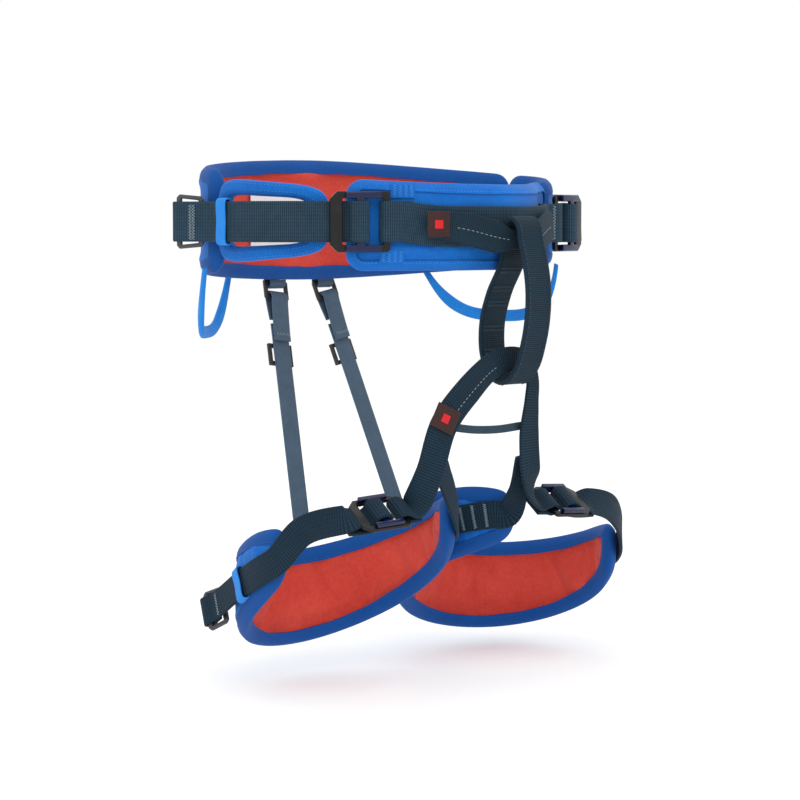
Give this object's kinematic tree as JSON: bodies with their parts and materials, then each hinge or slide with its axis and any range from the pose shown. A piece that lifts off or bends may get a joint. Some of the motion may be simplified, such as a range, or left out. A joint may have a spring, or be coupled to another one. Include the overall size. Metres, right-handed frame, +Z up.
{
  "type": "climbing harness",
  "caption": "Small sit harness with a padded two-buckle waist belt, a belay loop, adjustable padded leg loops, elastic rear risers and gear loops.",
  "frame": {"origin": "middle of the waist opening at the belt's mid height", "axes": "+Z up, the wearer faces -Y, and +X is the wearer's left"},
  "size_m": [0.3021, 0.2227, 0.323],
  "materials": {
    "blue_fabric": "woven nylon",
    "red_lining": "soft mesh lining",
    "webbing": "ribbed nylon webbing",
    "belay_webbing": "dense nylon webbing",
    "blue_webbing": "elastic binding",
    "grey_elastic": "knitted elastic",
    "black_metal": "black anodised, satin",
    "blue_metal": "navy anodised, polished",
    "black_plastic": "moulded, satin",
    "label": "printed care label, blank",
    "tag": "woven tag, blank"
  },
  "bodies": {
    "waist_belt": {"waist_pad_back": "blue_fabric", "waist_pad_left": "blue_fabric", "waist_pad_front": "blue_fabric", "waist_pad_right_wing": "blue_fabric", "waist_webbing": "webbing", "waist_tail_right": "webbing", "waist_tail_left": "webbing", "waist_keeper_right": "blue_webbing", "waist_keeper_left": "blue_webbing", "front_strap": "webbing", "tie_in_sleeve": "webbing", "tie_in_tag": "tag", "riser_tab_right": "grey_elastic", "riser_tab_left": "grey_elastic", "size_label": "label"},
    "belay_loop": {"belay_loop": "belay_webbing"},
    "leg_loops": {"leg_bridge_strap": "webbing", "bridge_tag": "tag", "cross_elastic": "grey_elastic", "leg_pad_right": "red_lining", "leg_tail_right": "webbing", "leg_keeper_right": "blue_webbing", "leg_inner_strap_right": "webbing", "leg_pad_left": "red_lining", "leg_tail_left": "webbing", "leg_keeper_left": "blue_webbing", "leg_inner_strap_left": "webbing"},
    "riser_right": {"riser_ring_right": "black_plastic", "riser_upper_right": "grey_elastic", "riser_lower_right": "grey_elastic"},
    "riser_slider_right": {"riser_slider_right": "black_plastic"},
    "riser_left": {"riser_ring_left": "black_plastic", "riser_upper_left": "grey_elastic", "riser_lower_left": "grey_elastic"},
    "riser_slider_left": {"riser_slider_left": "black_plastic"},
    "waist_right_buckle": {"waist_right_buckle_frame": "black_metal"},
    "waist_right_slider": {"waist_right_buckle_slider": "blue_metal"},
    "waist_left_buckle": {"waist_left_buckle_frame": "black_metal"},
    "waist_left_slider": {"waist_left_buckle_slider": "blue_metal"},
    "leg_right_buckle": {"leg_right_buckle_frame": "black_metal"},
    "leg_right_slider": {"leg_right_buckle_slider": "blue_metal"},
    "leg_left_buckle": {"leg_left_buckle_frame": "black_metal"},
    "leg_left_slider": {"leg_left_buckle_slider": "blue_metal"},
    "waist_end_ring_right": {"waist_end_ring_right": "black_plastic"},
    "leg_end_ring_right": {"leg_end_ring_right": "black_plastic"},
    "waist_end_ring_left": {"waist_end_ring_left": "black_plastic"},
    "leg_end_ring_left": {"leg_end_ring_left": "black_plastic"},
    "gear_loop_left": {"gear_loop_left": "blue_webbing"},
    "gear_loop_right": {"gear_loop_right": "blue_webbing"}
  },
  "joints": [
    {"name": "belay_loop_swing", "type": "hinge", "parent": "waist_belt", "child": "belay_loop", "pos_m": [0, -0.1045, -0.012], "axis": [1, 0, 0], "range_deg": [-20, 5]},
    {"name": "leg_loops_level", "type": "hinge", "parent": "belay_loop", "child": "leg_loops", "pos_m": [0, -0.0985, -0.086], "axis": [1, 0, 0], "range_deg": [-5, 20]},
    {"name": "riser_right_swing", "type": "hinge", "parent": "waist_belt", "child": "riser_right", "pos_m": [-0.022, 0.0986, -0.042], "axis": [1, 0, 0], "range_deg": [-10.3, 2.6]},
    {"name": "riser_slider_right_slide", "type": "slide", "parent": "riser_right", "child": "riser_slider_right", "axis": [-0.1295, -0.301, -0.9448], "range_m": [0, 0.06]},
    {"name": "riser_left_swing", "type": "hinge", "parent": "waist_belt", "child": "riser_left", "pos_m": [0.022, 0.0986, -0.042], "axis": [1, 0, 0], "range_deg": [-10.3, 2.6]},
    {"name": "riser_slider_left_slide", "type": "slide", "parent": "riser_left", "child": "riser_slider_left", "axis": [0.1782, -0.2697, -0.9463], "range_m": [0, 0.06]},
    {"name": "waist_right_buckle_tilt", "type": "hinge", "parent": "waist_belt", "child": "waist_right_buckle", "pos_m": [-0.07863, -0.06567, -0.001], "axis": [0, 0, 1], "range_deg": [0, 30]},
    {"name": "waist_right_slider_slide", "type": "slide", "parent": "waist_right_buckle", "child": "waist_right_slider", "axis": [-0.8102, 0.5861, 0], "range_m": [-0.004, 0]},
    {"name": "waist_left_buckle_tilt", "type": "hinge", "parent": "waist_belt", "child": "waist_left_buckle", "pos_m": [0.07396, -0.06688, -0.002], "axis": [0, 0, -1], "range_deg": [0, 30]},
    {"name": "waist_left_slider_slide", "type": "slide", "parent": "waist_left_buckle", "child": "waist_left_slider", "axis": [0.972, 0.235, 0], "range_m": [-0.004, 0]},
    {"name": "leg_right_buckle_tilt", "type": "hinge", "parent": "leg_loops", "child": "leg_right_buckle", "pos_m": [-0.09039, -0.08787, -0.17485], "axis": [0.1925, 0.8316, 0.5209], "range_deg": [0, 30]},
    {"name": "leg_right_slider_slide", "type": "slide", "parent": "leg_right_buckle", "child": "leg_right_slider", "axis": [-0.9588, 0.2725, -0.0807], "range_m": [-0.004, 0]},
    {"name": "leg_left_buckle_tilt", "type": "hinge", "parent": "leg_loops", "child": "leg_left_buckle", "pos_m": [0.04393, -0.08728, -0.18014], "axis": [-0.1347, -0.826, -0.5474], "range_deg": [0, 30]},
    {"name": "leg_left_slider_slide", "type": "slide", "parent": "leg_left_buckle", "child": "leg_left_slider", "axis": [0.9908, -0.1213, -0.0607], "range_m": [-0.004, 0]},
    {"name": "waist_end_ring_right_hinge", "type": "hinge", "parent": "waist_belt", "child": "waist_end_ring_right", "pos_m": [-0.1395, 0.057, -0.001], "axis": [0, 0, 1], "range_deg": [-3, 12]},
    {"name": "leg_end_ring_right_hinge", "type": "hinge", "parent": "leg_loops", "child": "leg_end_ring_right", "pos_m": [-0.12903, 0.04353, -0.24649], "axis": [-0.187, -0.4629, -0.8665], "range_deg": [-40, 11]},
    {"name": "waist_end_ring_left_hinge", "type": "hinge", "parent": "waist_belt", "child": "waist_end_ring_left", "pos_m": [0.1395, 0.057, -0.001], "axis": [0, 0, 1], "range_deg": [-12, 3]},
    {"name": "leg_end_ring_left_hinge", "type": "hinge", "parent": "leg_loops", "child": "leg_end_ring_left", "pos_m": [0.14402, 0.05003, -0.26159], "axis": [-0.1238, 0.3064, 0.9438], "range_deg": [-40, 11]},
    {"name": "gear_loop_left_swing", "type": "hinge", "parent": "waist_belt", "child": "gear_loop_left", "pos_m": [0.10986, 0.02661, -0.03], "axis": [0.1587, -0.9873, 0], "range_deg": [0, 70]},
    {"name": "gear_loop_right_swing", "type": "hinge", "parent": "waist_belt", "child": "gear_loop_right", "pos_m": [-0.09591, 0.07121, -0.03], "axis": [0.7916, 0.6111, 0], "range_deg": [0, 70]}
  ],
  "couplings": [
    {"joint": "leg_loops_level", "follows": "belay_loop_swing", "ratio": -1},
    {"joint": "riser_right_swing", "follows": "belay_loop_swing", "ratio": 0.51},
    {"joint": "riser_left_swing", "follows": "belay_loop_swing", "ratio": 0.51}
  ]
}
